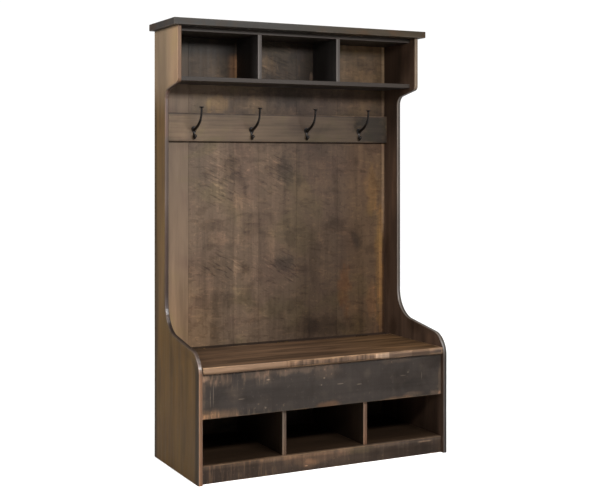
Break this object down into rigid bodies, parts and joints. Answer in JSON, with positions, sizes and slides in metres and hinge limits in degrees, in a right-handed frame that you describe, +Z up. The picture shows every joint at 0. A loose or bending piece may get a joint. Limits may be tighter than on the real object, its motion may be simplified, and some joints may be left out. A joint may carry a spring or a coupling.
{
  "type": "storage hall bench",
  "caption": "Tall wooden hall bench with shaped ends, open cubbies above and below, a rail of coat hooks on a boarded back, and a lift-up seat lid over a storage box.",
  "frame": {"origin": "on the floor, under the middle of the bench's own box", "axes": "+X to the right of someone facing the bench, +Y towards the wall, +Z up"},
  "size_m": [1.27, 0.537, 1.95],
  "materials": {
    "case_wood": "rough-sawn, brown stain, satin",
    "dark_wood": "rough-sawn, charcoal glaze, worn edges",
    "inner_wood": "brown stain, matt",
    "back_wood": "rough-sawn, brown stain, satin",
    "seat_wood": "brown stain, worn tan front edge",
    "hook_iron": "dark bronze, satin",
    "hinge_brass": "dark antiqued",
    "screw_steel": "blackened",
    "nail_steel": "bright",
    "rubber": "matt"
  },
  "bodies": {
    "case": {"left_end_panel": "case_wood", "right_end_panel": "case_wood", "cubby_ceiling_board": "case_wood", "upper_shelf": "case_wood", "upper_divider_left": "case_wood", "upper_divider_right": "case_wood", "hook_rail": "case_wood", "lower_divider_left": "case_wood", "lower_divider_right": "case_wood", "cubby_floor": "case_wood", "cornice_board": "dark_wood", "apron_board": "dark_wood", "base_rail": "dark_wood", "storage_floor": "inner_wood", "rear_seat_ledger": "inner_wood", "rear_base_rail": "inner_wood", "lid_rest_cleat_left": "inner_wood", "lid_rest_cleat_right": "inner_wood", "back_board_1": "back_wood", "back_board_2": "back_wood", "back_board_3": "back_wood", "back_board_4": "back_wood", "back_board_5": "back_wood", "back_board_6": "back_wood", "rear_seat_strip": "seat_wood", "coat_hook_1": "hook_iron", "coat_hook_2": "hook_iron", "coat_hook_3": "hook_iron", "coat_hook_4": "hook_iron", "hinge_case_leaf_1": "hinge_brass", "hinge_case_leaf_2": "hinge_brass", "hinge_case_leaf_3": "hinge_brass", "hinge_pin_1": "hinge_brass", "hinge_pin_2": "hinge_brass", "hinge_pin_3": "hinge_brass", "hook_screws": "screw_steel", "hinge_case_screws": "screw_steel", "cornice_screws": "screw_steel", "back_nails": "nail_steel", "lid_bumpers": "rubber"},
    "lid": {"seat_lid": "seat_wood", "lid_batten_left": "inner_wood", "lid_batten_right": "inner_wood", "batten_screws": "screw_steel", "hinge_lid_leaf_1": "hinge_brass", "hinge_lid_leaf_2": "hinge_brass", "hinge_lid_leaf_3": "hinge_brass", "hinge_lid_screws": "screw_steel"}
  },
  "joints": [
    {"name": "lid_hinge", "type": "hinge", "parent": "case", "child": "lid", "pos_m": [0, 0.194, 0.483], "axis": [-1, 0, 0], "range_deg": [0, 97]}
  ]
}
